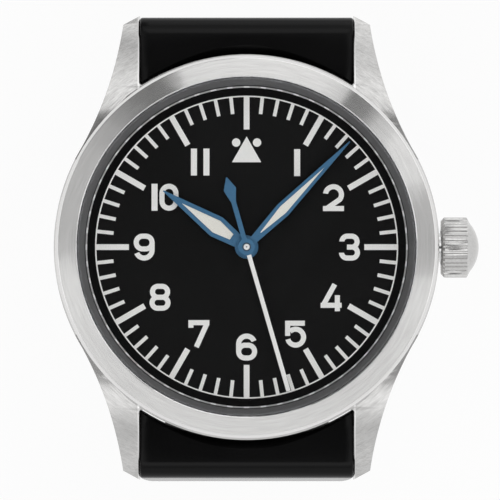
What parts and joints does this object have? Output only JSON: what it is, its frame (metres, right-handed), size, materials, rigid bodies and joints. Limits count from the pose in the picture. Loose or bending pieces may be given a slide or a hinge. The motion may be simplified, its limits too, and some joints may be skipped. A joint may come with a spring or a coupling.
{
  "type": "wrist watch",
  "caption": "Round steel pilot watch with black dial, sword hands, fluted crown, buckled black strap and a complete hand-wound movement.",
  "frame": {"origin": "centre of the case back's outer face", "axes": "+Z out through the dial, +Y to 12, +X to the crown at 3"},
  "size_m": [0.0436, 0.0496, 0.0649],
  "materials": {
    "brushed_case": "straight and circular brushing with polished edges",
    "polished_steel": "bright polish",
    "watch_glass": "clear, flat, slightly domed on top",
    "seal": "matt black",
    "dark_flange": "dark grey, finely turned",
    "ring_plastic": "plain",
    "black_dial": "matt black",
    "white_print": "thick matt print",
    "nickel_plate": "fine grained",
    "blued_steel": "heat blued, polished",
    "white_hand": "matt white needle with blued hub and tail",
    "lume": "grainy pale filling",
    "ruby": "clear red",
    "gilt_brass": "gilt, circular grained",
    "black_rubber": "smooth, satin black"
  },
  "bodies": {
    "case": {"case_middle": "brushed_case", "bezel": "brushed_case", "crystal": "watch_glass", "crystal_gasket": "seal", "rehaut_ring": "dark_flange", "case_back": "brushed_case", "case_back_gasket": "seal", "crown_tube": "polished_steel", "movement_ring": "ring_plastic", "dial": "black_dial", "minute_track": "white_print", "hour_numerals": "white_print", "triangle_marker": "white_print", "mainplate": "nickel_plate", "train_bridge": "nickel_plate", "balance_cock": "nickel_plate", "pallet_bridge": "nickel_plate", "bridge_screws": "blued_steel", "jewels": "ruby", "hairspring": "blued_steel", "spring_bar_12": "polished_steel", "spring_bar_6": "polished_steel"},
    "seconds": {"fourth_wheel": "gilt_brass", "seconds_hand": "white_hand", "seconds_pipe": "polished_steel"},
    "minutes": {"centre_wheel": "gilt_brass", "cannon_pinion": "polished_steel", "minute_hand": "blued_steel", "minute_lume": "lume"},
    "hours": {"hour_wheel": "gilt_brass", "hour_hand": "blued_steel", "hour_lume": "lume"},
    "third": {"third_wheel": "gilt_brass"},
    "minute_works": {"minute_wheel": "gilt_brass"},
    "escape": {"escape_wheel": "polished_steel"},
    "barrel_drum": {"barrel": "gilt_brass", "mainspring": "polished_steel"},
    "fork": {"pallet_fork": "polished_steel"},
    "balance": {"balance_wheel": "gilt_brass"},
    "ratchet": {"ratchet_wheel": "polished_steel"},
    "crown_gear": {"crown_wheel": "polished_steel"},
    "click_lever": {"click": "polished_steel"},
    "winding": {"winding_pinion": "polished_steel"},
    "stem_and_crown": {"stem": "polished_steel", "crown": "brushed_case", "crown_gasket": "seal"},
    "slider": {"sliding_pinion": "polished_steel"},
    "lever": {"setting_lever": "polished_steel"},
    "yoke_lever": {"yoke": "polished_steel"},
    "strap_12": {"strap_short": "black_rubber", "keeper_fixed": "black_rubber", "buckle_bar": "polished_steel"},
    "strap_6": {"strap_long": "black_rubber"},
    "buckle": {"buckle_frame": "brushed_case"},
    "tongue": {"buckle_tongue": "brushed_case"},
    "keeper": {"keeper_loose": "black_rubber"}
  },
  "joints": [
    {"name": "seconds_turn", "type": "hinge", "parent": "case", "child": "seconds", "pos_m": [0, 0, 0], "axis": [0, 0, -1], "continuous": true},
    {"name": "third_turn", "type": "hinge", "parent": "case", "child": "third", "pos_m": [-0.00423, -0.00154, 0], "axis": [0, 0, -1], "continuous": true},
    {"name": "minutes_turn", "type": "hinge", "parent": "case", "child": "minutes", "pos_m": [0, 0, 0], "axis": [0, 0, -1], "continuous": true},
    {"name": "hours_turn", "type": "hinge", "parent": "case", "child": "hours", "pos_m": [0, 0, 0], "axis": [0, 0, -1], "continuous": true},
    {"name": "minute_works_turn", "type": "hinge", "parent": "case", "child": "minute_works", "pos_m": [-0.00231, 0.00276, 0], "axis": [0, 0, -1], "continuous": true},
    {"name": "escape_turn", "type": "hinge", "parent": "case", "child": "escape", "pos_m": [0, -0.0044, 0], "axis": [0, 0, -1], "continuous": true},
    {"name": "barrel_turn", "type": "hinge", "parent": "case", "child": "barrel_drum", "pos_m": [0.00229, 0.00632, 0], "axis": [0, 0, -1], "continuous": true},
    {"name": "fork_rock", "type": "hinge", "parent": "case", "child": "fork", "pos_m": [0.00195, -0.00571, 0], "axis": [0, 0, 1], "range_deg": [-5, 5]},
    {"name": "balance_swing", "type": "hinge", "parent": "case", "child": "balance", "pos_m": [0.00415, -0.00719, 0], "axis": [0, 0, 1], "range_deg": [-270, 270], "stiffness_Nm_per_rad": 0.00000033, "deforming": ["hairspring"]},
    {"name": "crown_turn", "type": "hinge", "parent": "case", "child": "winding", "pos_m": [0, 0, 0.0037], "axis": [1, 0, 0], "continuous": true},
    {"name": "crown_gear_turn", "type": "hinge", "parent": "case", "child": "crown_gear", "pos_m": [0.0072, 0, 0], "axis": [0, 0, 1], "continuous": true},
    {"name": "ratchet_turn", "type": "hinge", "parent": "case", "child": "ratchet", "pos_m": [0.00229, 0.00632, 0], "axis": [0, 0, 1], "continuous": true},
    {"name": "click_pivot", "type": "hinge", "parent": "case", "child": "click_lever", "pos_m": [-0.00389, 0.00833, 0], "axis": [0, 0, 1], "range_deg": [0, 8]},
    {"name": "crown_pull", "type": "slide", "parent": "winding", "child": "stem_and_crown", "axis": [1, 0, 0], "range_m": [0, 0.0012]},
    {"name": "slider_shift", "type": "slide", "parent": "winding", "child": "slider", "axis": [1, 0, 0], "range_m": [-0.0006, 0]},
    {"name": "lever_turn", "type": "hinge", "parent": "case", "child": "lever", "pos_m": [0.0116, -0.0022, 0], "axis": [0, 0, 1], "range_deg": [-31, 0]},
    {"name": "yoke_turn", "type": "hinge", "parent": "case", "child": "yoke_lever", "pos_m": [0.008, -0.0026, 0], "axis": [0, 0, 1], "range_deg": [0, 14]},
    {"name": "strap_12_swing", "type": "hinge", "parent": "case", "child": "strap_12", "pos_m": [0, 0.022, 0.0025], "axis": [1, 0, 0], "range_deg": [0, 70], "deforming": ["strap_long"]},
    {"name": "strap_6_swing", "type": "hinge", "parent": "case", "child": "strap_6", "pos_m": [0, -0.022, 0.0025], "axis": [-1, 0, 0], "range_deg": [0, 70]},
    {"name": "buckle_pivot", "type": "hinge", "parent": "strap_12", "child": "buckle", "pos_m": [0, 0.00322, -0.04892], "axis": [1, 0, 0], "range_deg": [0, 15]},
    {"name": "tongue_pivot", "type": "hinge", "parent": "buckle", "child": "tongue", "pos_m": [0, 0.00322, -0.04892], "axis": [1, 0, 0], "range_deg": [0, 30]},
    {"name": "keeper_slide", "type": "hinge", "parent": "strap_12", "child": "keeper", "pos_m": [0, 0, -0.026], "axis": [1, 0, 0], "range_deg": [-8, 12]}
  ],
  "couplings": [
    {"joint": "third_turn", "follows": "seconds_turn", "ratio": -0.13333},
    {"joint": "minutes_turn", "follows": "seconds_turn", "ratio": 0.016667},
    {"joint": "hours_turn", "follows": "seconds_turn", "ratio": 0.0013889},
    {"joint": "minute_works_turn", "follows": "seconds_turn", "ratio": -0.0055556},
    {"joint": "escape_turn", "follows": "seconds_turn", "ratio": -10},
    {"joint": "barrel_turn", "follows": "seconds_turn", "ratio": -0.002381},
    {"joint": "crown_gear_turn", "follows": "crown_turn", "ratio": 0.46667},
    {"joint": "ratchet_turn", "follows": "crown_turn", "ratio": -0.28},
    {"joint": "slider_shift", "follows": "crown_pull", "ratio": -0.5},
    {"joint": "lever_turn", "follows": "crown_pull", "rad_per_m": -443.75},
    {"joint": "yoke_turn", "follows": "crown_pull", "rad_per_m": 191.46}
  ]
}
